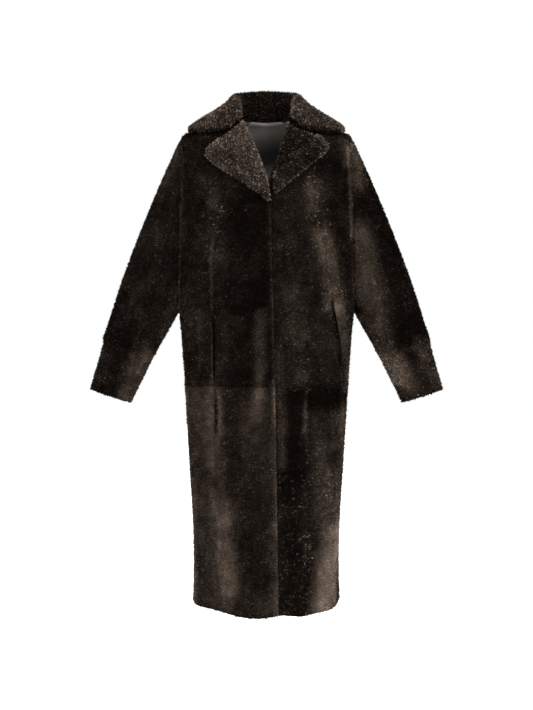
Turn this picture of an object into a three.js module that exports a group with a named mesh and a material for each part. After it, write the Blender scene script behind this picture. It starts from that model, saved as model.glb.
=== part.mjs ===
import * as THREE from 'three';
import { mergeVertices } from 'three/addons/utils/BufferGeometryUtils.js';

// A long shearling coat, hollow and filled out as it is worn, fronts closed, sleeves hanging free.
// Millimetres. X runs to the viewer's right, which is the wearer's left, Y to the back and Z up.
// The origin is where the coat is held: between the shoulders, in the middle of the neck opening.

// Driving dimensions
const wallThickness = 8; // tanned skin with its curled pile
const liningThickness = 1.2;
const liningClearance = 3.6;
const seamGap = 0.3;
const innerTrim = 0.5; // how far a wall's inner corner stays back from its seam
const seamDip = 1.2; // how far the pile sinks along a seam
const neckHalfWidth = 66;
const backNeckHeight = 10;
const shoulderHalfWidth = 192;
const shoulderTipHeight = -28;
const shoulderSlope = 0.33;
const shoulderRidgeRadius = 8;
const armpitHalfWidth = 203;
const armpitHeight = -443;
const joinHeight = -612; // where the upper skins meet the skirt skins
const lowerJoinHeight = -806; // second join, on the wearer's left skirt only
const hemHeight = -1106;
const fanBase = -300; // below this the rows of the panels are level
const hemOverrun = 20; // seam tables run this far past the hem
const joinOverrun = 10; // and this far past a join
const squareness = 2.3; // 2 is an ellipse, more is squarer
const lapLift = { height: 5.2, from: -118, to: -50 }; // the lapping front stands out by this, from x to x
const lapSink = { depth: 4.8, from: 32, to: 98 }; // and the front under it is set in
const lapelThickness = 12;
const lapelClearance = 0.7;
const lapelStandOff = 4; // how far its free edge stands off the chest
const lapelRimShare = 0.62; // thickness left at the rounded edge
const collarThickness = 14;
const collarRimShare = 0.45;
const lining = { lowest: -270, halfWidth: 118, dropNeck: 26, dropSide: 50, dropFrom: 30, dropTo: 84 };
const neckStrip = { height: 7, least: 1, from: 28, to: 44 }; // the lining's edge, turned up to the collar
const neckCorner = { from: 46, to: 62 }; // where that edge leaves the neck
const neckCrowding = 2; // more sets the lining's rows closer towards the neck
const pocketThickness = 3;
const pocketClearance = 1.3;
const pocketHalfWidth = 12;
const pocketMargin = 12;
const pocketTaper = 30; // length over which a mouth opens
const backHem = { dip: 5, wave: 0.4, waves: 11 };

// Depth of the coat in front of and behind the shoulder line, by the drop below that line
const depthTable = [
  { drop: 0, front: 0, back: 0 },
  { drop: 6, front: 24, back: 32 },
  { drop: 15, front: 40, back: 56 },
  { drop: 30, front: 57, back: 77 },
  { drop: 60, front: 77, back: 94 },
  { drop: 110, front: 98, back: 110 },
  { drop: 180, front: 116, back: 122 },
  { drop: 270, front: 128, back: 128 },
  { drop: 400, front: 133, back: 129 },
  { drop: 620, front: 135, back: 129 },
  { drop: 850, front: 138, back: 134 },
  { drop: 1180, front: 143, back: 142 },
];

// Half width of the body's ring. Above the armpit the ring runs on inside the sleeve head.
const widthTable = [
  { height: -1120, halfWidth: 170.5 },
  { height: -1060, halfWidth: 168.5 },
  { height: -983, halfWidth: 168 },
  { height: -906, halfWidth: 171 },
  { height: -810, halfWidth: 177.5 },
  { height: -714, halfWidth: 183.5 },
  { height: -612, halfWidth: 189.5 },
  { height: -520, halfWidth: 196 },
  { height: -443, halfWidth: 203 },
  { height: -430, halfWidth: 207.5 },
  { height: -400, halfWidth: 213.5 },
  { height: -350, halfWidth: 221 },
  { height: -300, halfWidth: 228 },
  { height: -250, halfWidth: 233 },
  { height: -200, halfWidth: 237 },
  { height: -100, halfWidth: 242 },
  { height: 60, halfWidth: 246 },
];

// Closing edge of the lapping front, and the hidden edge of the front under it
const closingEdge = [
  { height: hemHeight - hemOverrun, x: 26.5 },
  { height: -540, x: 17.5 },
  { height: -200, x: 9 },
  { height: 0, x: 8 },
];
const hiddenEdge = [
  { height: hemHeight - hemOverrun, x: -36 },
  { height: -540, x: -40 },
  { height: -280, x: -42 },
  { height: 0, x: -42 },
];

// Lower edge of the fronts, seen from the front
const frontHem = [
  { x: -172, height: hemHeight },
  { x: -133, height: -1110 },
  { x: -92, height: -1113 },
  { x: -48, height: -1123 },
  { x: -6, height: -1124 },
  { x: 26, height: -1117 },
  { x: 74, height: -1121 },
  { x: 112, height: -1118 },
  { x: 136, height: -1115 },
  { x: 172, height: hemHeight },
];

// Panel seams down each front
const rightSeam = [
  { height: hemHeight - hemOverrun, x: -118 },
  { height: -680, x: -119 },
  { height: -450, x: -118 },
  { height: -320, x: -127 },
  { height: -215, x: -139 },
  { height: -105, x: -146 },
  { height: 0, x: -150 },
];
const leftSeam = [
  { height: joinHeight - joinOverrun, x: 182 },
  { height: -560, x: 174 },
  { height: -415, x: 149 },
  { height: -280, x: 123 },
  { height: -195, x: 105 },
  { height: -110, x: 100 },
  { height: 0, x: 98 },
];
const leftSkirtSeam = [
  { height: lowerJoinHeight - joinOverrun, x: 84 },
  { height: joinHeight + joinOverrun, x: 86 },
];

// Pocket mouths: stretches of the two front seams that are left open
const rightPocket = { low: -612, high: -446, gape: 5 };
const leftPocket = { low: -566, high: -414, gape: 5 };

// Roll lines of the lapels, from the neck down, and the neckline from there to the shoulder
const rightRoll = [
  { x: -neckHalfWidth, height: 14 },
  { x: -53, height: -5 },
  { x: -35, height: -50 },
  { x: -15, height: -103 },
  { x: 2, height: -157 },
  { x: 9, height: -194 },
  { x: 12, height: -200 },
];
const leftRoll = [
  { x: -44, height: -288 },
  { x: -20, height: -215 },
  { x: 4, height: -152 },
  { x: 22, height: -100 },
  { x: 38, height: -52 },
  { x: 50, height: -8 },
  { x: neckHalfWidth, height: 14 },
];

// Lapel outlines, seen from the front: the top edge from the roll line out, the roll and the free edge
const rightLapel = {
  top: [{ x: -51, z: -9 }, { x: -79, z: -35 }, { x: -104, z: -52 }, { x: -130, z: -72 }],
  roll: [{ x: -51, z: -9 }, { x: -33, z: -50 }, { x: -12, z: -103 }, { x: 4, z: -155 }, { x: 10, z: -197 }],
  free: [
    { x: -130, z: -72 }, { x: -138, z: -94 }, { x: -104, z: -124 }, { x: -60, z: -154 }, { x: 2, z: -200 },
  ],
};
const leftLapel = {
  top: [{ x: 48, z: -12 }, { x: 62, z: -28 }, { x: 96, z: -41 }, { x: 127, z: -50 }],
  roll: [{ x: 48, z: -12 }, { x: 36, z: -52 }, { x: 25, z: -92 }, { x: 15, z: -138 }, { x: 13, z: -172 }],
  free: [
    { x: 127, z: -50 }, { x: 141, z: -74 }, { x: 118, z: -101 }, { x: 72, z: -141 }, { x: 20, z: -184 },
  ],
};

// Collar on one side, from the middle of the back to the front end. Each row is one section of it:
// the neck seam, the roll it turns over, a point on the fall and the free edge.
const collarTable = [
  { seam: [0, 70, 10.6], roll: [0, 90, 86], rollRadius: 12, fall: [0, 110, 30], edge: [0, 115, -28] },
  { seam: [40, 56, 12.4], roll: [45, 79, 81], rollRadius: 12, fall: [72, 98, 31], edge: [92, 102, -33] },
  { seam: [63, 27, 14.8], roll: [69, 42, 70], rollRadius: 12, fall: [108, 62, 30], edge: [150, 70, -29] },
  { seam: [66, 2, 16], roll: [75, 8, 59], rollRadius: 11, fall: [117, 14, 26], edge: [177, 24, -6] },
  { seam: [62, -24, 15], roll: [70, -24, 38], rollRadius: 8, fall: [119, -26, 9], edge: [181, -2, -16] },
  { seam: [55, -52, 2], roll: [60, -63, -3], rollRadius: 3, fall: [86, -78, -29], edge: [180, -34, -29] },
];

// Sleeve from the armhole to the cuff: its outer and inner contour and half its depth
const sleeveTable = [
  { outX: shoulderHalfWidth, outZ: shoulderTipHeight, inX: armpitHalfWidth, inZ: armpitHeight, depth: 78 },
  { outX: 203, outZ: -43, inX: 203.4, inZ: -444.5, depth: 78 },
  { outX: 217, outZ: -75, inX: 204.5, inZ: -447, depth: 78 },
  { outX: 233, outZ: -108, inX: 207, inZ: -452, depth: 78 },
  { outX: 252, outZ: -153, inX: 212, inZ: -461, depth: 78 },
  { outX: 277, outZ: -212, inX: 219, inZ: -474, depth: 77 },
  { outX: 303, outZ: -277, inX: 228, inZ: -490, depth: 74 },
  { outX: 328, outZ: -343, inX: 238, inZ: -507, depth: 70 },
  { outX: 351, outZ: -408, inX: 248, inZ: -524, depth: 65 },
  { outX: 379, outZ: -503, inX: 257, inZ: -539, depth: 60 },
  { outX: 388, outZ: -542, inX: 273, inZ: -572, depth: 57 },
  { outX: 400, outZ: -582, inX: 292, inZ: -610, depth: 54 },
  { outX: 410, outZ: -618, inX: 312, inZ: -651, depth: 51 },
];
const sleeveJoinRow = 9;
const armholeRows = 6; // rows over which the armhole's oval turns into the tube's

// Soft folds of the body. Azimuth is in degrees from the middle of the front, negative towards
// the wearer's right, and a fold grows from its top to its full depth.
const folds = [
  { azimuth: -66, width: 10, depth: 4, top: -500, full: -900 },
  { azimuth: -46, width: 9, depth: -4, top: -560, full: -900 },
  { azimuth: -27, width: 9, depth: 4.5, top: -330, full: -800 },
  { azimuth: -10, width: 8, depth: -3.5, top: -420, full: -900 },
  { azimuth: 22, width: 9, depth: 4, top: -500, full: -950 },
  { azimuth: 38, width: 8, depth: -4, top: -560, full: -900 },
  { azimuth: 56, width: 10, depth: 4.5, top: -300, full: -880 },
  { azimuth: 74, width: 8, depth: -3, top: -600, full: -950 },
  { azimuth: 112, width: 12, depth: 4, top: -520, full: -950 },
  { azimuth: 135, width: 11, depth: -4, top: -480, full: -900 },
  { azimuth: 158, width: 12, depth: 4.5, top: -300, full: -900 },
  { azimuth: -178, width: 12, depth: -4, top: -360, full: -950 },
  { azimuth: -152, width: 12, depth: 4, top: -420, full: -900 },
  { azimuth: -128, width: 11, depth: -4, top: -520, full: -950 },
  { azimuth: -104, width: 11, depth: 3.5, top: -560, full: -950 },
];
const foldScaleRadius = 150; // a fold scales its ring as if the ring had this radius

// Levels of the panel rows
const skirtCells = 5; // between the two joins
const hemCells = 7; // between the lower join and the hem
const sideLevels = [joinHeight, -566, -520, -480, armpitHeight];
const armholeLevels = [-436, -422, -398, -365, -332, fanBase];
const fanSteps = [0.14, 0.28, 0.42, 0.56, 0.69, 0.8, 0.89, 0.95, 0.985, 1];
const passes = 6; // rounds in which a slanted seam and its level are settled together
const mergeDistance = 1e-4;
const flatSine = 1e-6; // a smaller sine is the tube's upper or lower edge
const neckMargin = 1; // the shoulder's edge starts this far inside the neck

// Smooth curve through a table, without overshoot
function curveThrough(table, from, to) {
  const rows = [...table].sort((a, b) => a[from] - b[from]);
  const xs = rows.map((row) => row[from]);
  const ys = rows.map((row) => row[to]);
  const slopes = xs.slice(1).map((x, i) => (ys[i + 1] - ys[i]) / (x - xs[i]));
  const tangents = ys.map((_, i) => {
    if (i === 0) return slopes[0];
    if (i === ys.length - 1) return slopes[i - 1];
    if (slopes[i - 1] * slopes[i] <= 0) return 0;
    return (2 * slopes[i - 1] * slopes[i]) / (slopes[i - 1] + slopes[i]);
  });
  return (x) => {
    if (x <= xs[0]) return ys[0];
    if (x >= xs[xs.length - 1]) return ys[ys.length - 1];
    const i = xs.findIndex((value) => value > x) - 1;
    const h = xs[i + 1] - xs[i];
    const t = (x - xs[i]) / h;
    const t2 = t * t;
    const t3 = t2 * t;
    return (
      (2 * t3 - 3 * t2 + 1) * ys[i] + (t3 - 2 * t2 + t) * h * tangents[i] +
      (3 * t2 - 2 * t3) * ys[i + 1] + (t3 - t2) * h * tangents[i + 1]
    );
  };
}

const lerp = (a, b, t) => a + (b - a) * t;
const clamp01 = (t) => Math.min(1, Math.max(0, t));
const smooth = (low, high, value) => {
  const t = clamp01((value - low) / (high - low));
  return t * t * (3 - 2 * t);
};

// The depth grows with the root of the drop near the shoulder line, so the curve runs over the root
const rootedDepths = depthTable.map(({ drop, front, back }) => ({ root: Math.sqrt(drop), front, back }));
const frontDepth = curveThrough(rootedDepths, 'root', 'front');
const backDepth = curveThrough(rootedDepths, 'root', 'back');
const ringHalfWidth = curveThrough(widthTable, 'height', 'halfWidth');
const rightRollHeight = curveThrough(rightRoll, 'x', 'height');
const leftRollHeight = curveThrough(leftRoll, 'x', 'height');

// Shoulder line, and the armhole's plane, which leans out towards the armpit
const ridgeTop = shoulderTipHeight + shoulderSlope * Math.hypot(shoulderHalfWidth, shoulderRidgeRadius);
const shoulderHeight = (x) => ridgeTop - shoulderSlope * Math.hypot(x, shoulderRidgeRadius);
const armholeX = (z) =>
  lerp(shoulderHalfWidth, armpitHalfWidth, (shoulderTipHeight - z) / (shoulderTipHeight - armpitHeight));

// Where a point lies round its ring, as an angle from the middle of the front or back
function ringAngle(x, halfWidth) {
  const share = Math.min(1, Math.abs(x) / halfWidth);
  return Math.sign(x) * Math.asin(Math.pow(share, squareness / 2));
}
function ringX(angle, halfWidth) {
  return Math.sign(angle) * halfWidth * Math.pow(Math.abs(Math.sin(angle)), 2 / squareness);
}

function foldDepth(azimuth, z) {
  let sum = 0;
  for (const fold of folds) {
    const turn = ((azimuth - fold.azimuth + 540) % 360) - 180;
    sum += fold.depth * Math.exp(-Math.pow(turn / fold.width, 2)) * smooth(fold.top, fold.full, z);
  }
  return sum;
}

// A point of the coat's outer surface over (x, z). side is -1 for the front and 1 for the back.
function bodyPoint(x, z, side, lift = 0) {
  const halfWidth = ringHalfWidth(z);
  const drop = Math.max(0, shoulderHeight(x) - z);
  const depth = (side < 0 ? frontDepth : backDepth)(Math.sqrt(drop));
  const share = Math.min(1, Math.abs(x) / halfWidth);
  const y = side * (depth * Math.pow(1 - Math.pow(share, squareness), 1 / squareness) + lift);
  const degrees = THREE.MathUtils.radToDeg(ringAngle(x, halfWidth));
  const azimuth = side < 0 ? degrees : 180 * Math.sign(degrees || 1) - degrees;
  const scale = 1 + foldDepth(azimuth, z) / foldScaleRadius;
  return new THREE.Vector3(x * scale, y * scale, z);
}

// How far each front stands out or is set in where the two lap
const overLift = (x) => lapLift.height * smooth(lapLift.from, lapLift.to, x);
const underLift = (x) => -lapSink.depth * (1 - smooth(lapSink.from, lapSink.to, x));

// The hem dips in front and waves a few millimetres all round
const frontHemHeight = curveThrough(frontHem, 'x', 'height');
function hemAt(x, side) {
  if (side < 0) return frontHemHeight(x);
  const turn = x / ringHalfWidth(hemHeight);
  return hemHeight - backHem.dip * (1 - turn * turn) * (1 + backHem.wave * Math.sin(turn * backHem.waves));
}

// Upper end of a column: the shoulder line or the back neckline, and null inside the front's neckline
function topHeight(x, side) {
  if (Math.abs(x) >= neckHalfWidth) return shoulderHeight(x);
  if (side > 0) return lerp(backNeckHeight, shoulderHeight(neckHalfWidth), Math.pow(x / neckHalfWidth, 2));
  return null;
}

// Grids of points are arrays of rows. The normals come from the neighbours in the grid.
function gridNormals(grid, closed) {
  const columns = grid[0].length;
  return grid.map((row, i) =>
    row.map((point, j) => {
      const up = grid[Math.min(i + 1, grid.length - 1)][j].clone().sub(grid[Math.max(i - 1, 0)][j]);
      const nextJ = closed ? (j + 1) % columns : Math.min(j + 1, columns - 1);
      const lastJ = closed ? (j - 1 + columns) % columns : Math.max(j - 1, 0);
      const across = row[nextJ].clone().sub(row[lastJ]);
      return across.cross(up).normalize();
    })
  );
}

// A wall between two grids of points, closed at its rims
function wallGeometry(outer, inner, closed = false) {
  const rows = outer.length;
  const columns = outer[0].length;
  const positions = [];
  for (const grid of [outer, inner]) {
    for (const row of grid) {
      for (const point of row) positions.push(point.x, point.y, point.z);
    }
  }
  const at = (layer, i, j) => layer * rows * columns + i * columns + (closed ? j % columns : j);
  const indices = [];
  const quad = (a, b, c, d) => indices.push(a, b, c, a, c, d);
  const lastColumn = closed ? columns : columns - 1;
  for (let i = 0; i < rows - 1; i++) {
    for (let j = 0; j < lastColumn; j++) {
      quad(at(0, i, j), at(0, i, j + 1), at(0, i + 1, j + 1), at(0, i + 1, j));
      quad(at(1, i, j), at(1, i + 1, j), at(1, i + 1, j + 1), at(1, i, j + 1));
    }
  }
  for (let j = 0; j < lastColumn; j++) {
    quad(at(0, 0, j), at(1, 0, j), at(1, 0, j + 1), at(0, 0, j + 1));
    quad(at(0, rows - 1, j), at(0, rows - 1, j + 1), at(1, rows - 1, j + 1), at(1, rows - 1, j));
  }
  for (let i = 0; i < rows - 1 && !closed; i++) {
    quad(at(0, i, 0), at(0, i + 1, 0), at(1, i + 1, 0), at(1, i, 0));
    const end = columns - 1;
    quad(at(0, i, end), at(1, i, end), at(1, i + 1, end), at(0, i + 1, end));
  }
  if (enclosedVolume(positions, indices) < 0) indices.reverse();
  const geometry = new THREE.BufferGeometry();
  geometry.setAttribute('position', new THREE.Float32BufferAttribute(positions, 3));
  geometry.setIndex(indices);
  const merged = mergeVertices(geometry, mergeDistance);
  merged.computeVertexNormals();
  return merged;
}

function enclosedVolume(positions, indices) {
  const corner = (k) => new THREE.Vector3().fromArray(positions, indices[k] * 3);
  let sum = 0;
  for (let k = 0; k < indices.length; k += 3) {
    sum += corner(k).dot(corner(k + 1).cross(corner(k + 2)));
  }
  return sum / 6;
}

const materials = {
  shearling: { color: 0x3a2f28, roughness: 0.95 },
  shearlingLight: { color: 0x55493f, roughness: 0.95 },
  shearlingDark: { color: 0x281f1a, roughness: 0.95 },
  lining: { color: 0x4a4642, roughness: 0.4 },
};

const coat = new THREE.Group();
coat.name = 'shearling_coat';

function addPiece(name, geometry, materialName) {
  const material = new THREE.MeshStandardMaterial({ ...materials[materialName], metalness: 0 });
  const mesh = new THREE.Mesh(geometry, material);
  mesh.name = name;
  coat.add(mesh);
}

// Moves the points of a rim towards their neighbours inside the wall
function trimEdge(points, neighbours, distance) {
  points.forEach((point, k) => point.add(neighbours[k].clone().sub(point).setLength(distance)));
}

// Makes one panel of the body. edges gives the x of its two sides by height, rows its levels from
// the bottom up, and kinds what each side is: seam, side (seam or armhole) or free.
function bodyPanel(panel) {
  const { name, material, side, rows, columns, edges, kinds, lift, top, topKind, bottomKind } = panel;
  // One more column past each seam, so that the panels on both sides of it lean the same way
  const extra = kinds.map((kind) => (kind === 'seam' ? 1 : 0));
  const wider = rows.map((level) => {
    const heightAt = (x) => {
      if (level.fan !== undefined) return lerp(fanBase, top(x), level.fan);
      return level.hem === undefined ? level.z : lerp(lowerJoinHeight, hemAt(x, side), level.hem);
    };
    const edgeX = edges.map((edge) => {
      let x = edge(fanBase);
      for (let pass = 0; pass < passes; pass++) x = edge(heightAt(x));
      return x;
    });
    const reference = ringHalfWidth(heightAt((edgeX[0] + edgeX[1]) / 2));
    const widest = Math.max(reference, Math.abs(edgeX[0]), Math.abs(edgeX[1]));
    const angles = edgeX.map((x) => ringAngle(x, widest));
    return Array.from({ length: columns + 1 + extra[0] + extra[1] }, (_, j) => {
      const x = ringX(lerp(angles[0], angles[1], (j - extra[0]) / columns), widest);
      return bodyPoint(x, heightAt(x), side, lift ? lift(x) : 0);
    });
  });
  const ownColumns = (grid) => grid.map((row) => row.slice(extra[0], extra[0] + columns + 1));
  const normals = ownColumns(gridNormals(wider, false));
  const outer = ownColumns(wider);
  const outward = Math.sign(normals[0][1].y * side) || 1;
  const isArmhole = (i) => (rows[i].fan !== undefined || rows[i].z >= armpitHeight);
  normals.forEach((row, i) => {
    row.forEach((normal) => normal.multiplyScalar(outward));
    [0, columns].forEach((j, k) => {
      if (kinds[k] === 'side') row[j][isArmhole(i) ? 'x' : 'y'] = 0;
    });
    if (i === normals.length - 1 && topKind === 'shoulder') flattenShoulder(row, outer[i]);
    if ((i === 0 && bottomKind === 'join') || (i === normals.length - 1 && topKind === 'join')) {
      row.forEach((normal) => (normal.z = 0));
    }
    row.forEach((normal) => normal.normalize());
  });
  const inner = outer.map((row, i) =>
    row.map((point, j) => point.clone().addScaledVector(normals[i][j], -wallThickness)));
  dipEdges(outer, normals, kinds, topKind, bottomKind);
  for (const grid of [outer, inner]) {
    const trim = grid === outer ? seamGap / 2 : innerTrim;
    [0, columns].forEach((j, k) => {
      const inward = j === 0 ? 1 : columns - 1;
      if (kinds[k] === 'seam') trimEdge(grid.map((row) => row[j]), grid.map((row) => row[inward]), trim);
      if (kinds[k] === 'side') trimArmhole(grid, isArmhole, j);
    });
    if (topKind === 'join') grid[grid.length - 1].forEach((point) => (point.z -= seamGap / 2));
    if (bottomKind === 'join') grid[0].forEach((point) => (point.z += seamGap / 2));
    grid.forEach((row) => keepOffMiddle(row, side));
  }
  addPiece(name, wallGeometry(outer, inner), material);
}

// The pile sinks along the seams
function dipEdges(outer, normals, kinds, topKind, bottomKind) {
  const end = outer.length - 1;
  const last = outer[0].length - 1;
  outer.forEach((row, i) => row.forEach((point, j) => {
    const onSeam = (j === 0 && kinds[0] !== 'free') || (j === last && kinds[1] !== 'free') ||
      (i === 0 && bottomKind === 'join') || (i === end && topKind === 'join');
    if (onSeam) point.addScaledVector(normals[i][j], -seamDip);
  }));
}

// At the armhole the wall ends in the armhole's plane
function trimArmhole(grid, isArmhole, j) {
  grid.forEach((row, i) => {
    if (isArmhole(i)) row[j].x = Math.sign(row[j].x) * (armholeX(row[j].z) - seamGap / 2);
  });
}

// On the shoulder, and down the side, front and back meet in the plane y = 0
function flattenShoulder(normals, points) {
  normals.forEach((normal, j) => {
    if (Math.abs(points[j].x) >= neckHalfWidth - neckMargin) normal.y = 0;
  });
}

function keepOffMiddle(row, side) {
  row.forEach((point) => {
    if (side * point.y < seamGap / 2) point.y = (side * seamGap) / 2;
  });
}

const edgeOf = (table) => curveThrough(table, 'height', 'x');

// A seam that gapes along the pocket mouth. away is the side the panel lies on.
function pocketEdge(table, pocket, away) {
  const edge = edgeOf(table);
  const rising = (z) => smooth(pocket.low, pocket.low + pocketTaper, z);
  const falling = (z) => 1 - smooth(pocket.high - pocketTaper, pocket.high, z);
  return (z) => edge(z) + (away * rising(z) * falling(z) * pocket.gape) / 2;
}

const sideEdge = (sign) => (z) => sign * (z < armpitHeight ? ringHalfWidth(z) : armholeX(z));

const upperLevels = [
  ...[...sideLevels, ...armholeLevels].map((z) => ({ z })),
  ...fanSteps.map((fan) => ({ fan })),
];
const steps = (count) => Array.from({ length: count + 1 }, (_, i) => i / count);
const hemLevels = steps(hemCells).map((share) => ({ hem: 1 - share }));
const blockLevels = steps(skirtCells).map((share) => ({ z: lerp(lowerJoinHeight, joinHeight, share) }));
const skirtLevels = [...hemLevels, ...blockLevels.slice(1)];
const rightTop = (x) => topHeight(x, -1) ?? rightRollHeight(x);
const leftTop = (x) => topHeight(x, -1) ?? leftRollHeight(x);
const backTop = (x) => topHeight(x, 1);

// Fronts. The wearer's right front laps over the left one.
function buildFronts() {
  const right = { side: -1, lift: overLift, top: rightTop };
  const left = { side: -1, lift: underLift, top: leftTop };
  const upper = { rows: upperLevels, bottomKind: 'join', topKind: 'shoulder' };
  const skirt = { rows: skirtLevels, topKind: 'join' };
  bodyPanel({
    name: 'front_right_centre_upper', material: 'shearlingDark', columns: 9, ...right, ...upper,
    edges: [pocketEdge(rightSeam, rightPocket, 1), edgeOf(closingEdge)], kinds: ['seam', 'free'],
  });
  bodyPanel({
    name: 'front_right_side_upper', material: 'shearling', columns: 6, ...right, ...upper,
    edges: [sideEdge(-1), pocketEdge(rightSeam, rightPocket, -1)], kinds: ['side', 'seam'],
  });
  bodyPanel({
    name: 'front_right_centre_skirt', material: 'shearlingLight', columns: 9, ...right, ...skirt,
    edges: [pocketEdge(rightSeam, rightPocket, 1), edgeOf(closingEdge)], kinds: ['seam', 'free'],
  });
  bodyPanel({
    name: 'front_right_side_skirt', material: 'shearlingLight', columns: 6, ...right, ...skirt,
    edges: [sideEdge(-1), pocketEdge(rightSeam, rightPocket, -1)], kinds: ['side', 'seam'],
  });
  bodyPanel({
    name: 'front_left_centre_upper', material: 'shearling', columns: 10, ...left, ...upper,
    edges: [edgeOf(hiddenEdge), pocketEdge(leftSeam, leftPocket, -1)], kinds: ['free', 'seam'],
  });
  bodyPanel({
    name: 'front_left_side_upper', material: 'shearlingLight', columns: 6, ...left, ...upper,
    edges: [pocketEdge(leftSeam, leftPocket, 1), sideEdge(1)], kinds: ['seam', 'side'],
  });
  const block = { rows: blockLevels, topKind: 'join', bottomKind: 'join' };
  bodyPanel({
    name: 'front_left_centre_skirt', material: 'shearlingDark', columns: 7, ...left, ...block,
    edges: [edgeOf(hiddenEdge), edgeOf(leftSkirtSeam)], kinds: ['free', 'seam'],
  });
  bodyPanel({
    name: 'front_left_side_skirt', material: 'shearling', columns: 7, ...left, ...block,
    edges: [edgeOf(leftSkirtSeam), sideEdge(1)], kinds: ['seam', 'side'],
  });
  bodyPanel({
    name: 'front_left_hem', material: 'shearlingDark', columns: 14, ...left,
    rows: hemLevels, topKind: 'join',
    edges: [edgeOf(hiddenEdge), sideEdge(1)], kinds: ['free', 'side'],
  });
}

function buildBack() {
  const back = {
    side: 1, top: backTop, columns: 24, material: 'shearling',
    edges: [sideEdge(-1), sideEdge(1)], kinds: ['side', 'side'],
  };
  bodyPanel({ name: 'back_upper', rows: upperLevels, bottomKind: 'join', topKind: 'shoulder', ...back });
  bodyPanel({ name: 'back_skirt', rows: skirtLevels, topKind: 'join', ...back });
}

// A sheet laid along a surface between two distances from it
function layer(grid, outerDistance, innerDistance, outwardY, finishRows = (rows) => rows) {
  const normals = gridNormals(grid, false);
  const middle = normals[Math.floor(normals.length / 2)][Math.floor(normals[0].length / 2)];
  const sign = Math.sign(middle.y * outwardY);
  const move = (distance) => grid.map((row, i) => row.map((point, j) => {
    const away = typeof distance === 'function' ? distance(i, j) : distance;
    return point.clone().addScaledVector(normals[i][j], sign * away);
  }));
  return wallGeometry(finishRows(move(outerDistance)), finishRows(move(innerDistance)));
}

// The satin lining shows only inside the back, below the collar
function buildLining() {
  const rows = 12;
  const columns = 16;
  const { lowest, halfWidth, dropNeck, dropSide, dropFrom, dropTo } = lining;
  // Its upper edge runs along the neck, and past it keeps clear of the shoulder's curve
  const drop = (x) => lerp(dropNeck, dropSide, smooth(dropFrom, dropTo, Math.abs(x)));
  const pastNeck = (x) => smooth(neckCorner.from, neckCorner.to, Math.abs(x));
  const grid = Array.from({ length: rows + 1 }, (_, i) =>
    Array.from({ length: columns + 1 }, (_, j) => {
      const x = lerp(-halfWidth, halfWidth, j / columns);
      const highest = lerp(backTop(x), shoulderHeight(x) - drop(x), pastNeck(x));
      return bodyPoint(x, lerp(highest, lowest, Math.pow(1 - i / rows, neckCrowding)), 1);
    }));
  const towardsCorner = (x) => smooth(neckStrip.from, neckStrip.to, Math.abs(x));
  const rise = (x) => lerp(neckStrip.height, neckStrip.least, towardsCorner(x));
  const turnUp = (moved) => [
    ...moved,
    moved.at(-1).map((point) => point.clone().setZ(point.z + rise(point.x))),
  ];
  const away = wallThickness + liningClearance;
  addPiece('lining_back', layer(grid, -away, -away - liningThickness, 1, turnUp), 'lining');
}

// Lapels lie folded back on the chest
function buildLapel(name, outline, lift, material) {
  const rows = 12;
  const columns = 8;
  const path = (points) => new THREE.CatmullRomCurve3(
    points.map((point) => new THREE.Vector3(point.x, 0, point.z)), false, 'centripetal');
  const [topEdge, rollEdge, freeEdge] = [path(outline.top), path(outline.roll), path(outline.free)];
  const grid = Array.from({ length: rows + 1 }, (_, i) => {
    const down = i / rows;
    const start = rollEdge.getPoint(down);
    const end = freeEdge.getPoint(down);
    return Array.from({ length: columns + 1 }, (_, j) => {
      const out = j / columns;
      const bow = topEdge.getPoint(out).sub(topEdge.getPoint(0).lerp(topEdge.getPoint(1), out));
      const at = start.clone().lerp(end, out).addScaledVector(bow, 1 - down);
      return bodyPoint(at.x, at.z, -1, lift(at.x));
    });
  });
  // The free edge is rounded off and stands a little off the chest
  const rimCells = 1.5;
  const rim = (i, j) => {
    const cells = Math.min(columns - j, j, i, rows - i);
    return Math.sqrt(Math.min(1, cells / rimCells));
  };
  const standOff = (j) => lapelClearance + lapelStandOff * Math.pow(j / columns, 2);
  const front = (i, j) => standOff(j) + lapelThickness * lerp(lapelRimShare, 1, rim(i, j));
  const behind = (i, j) => standOff(j) + rimCells * (1 - rim(i, j));
  addPiece(name, layer(grid, front, behind, -1), material);
}

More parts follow.
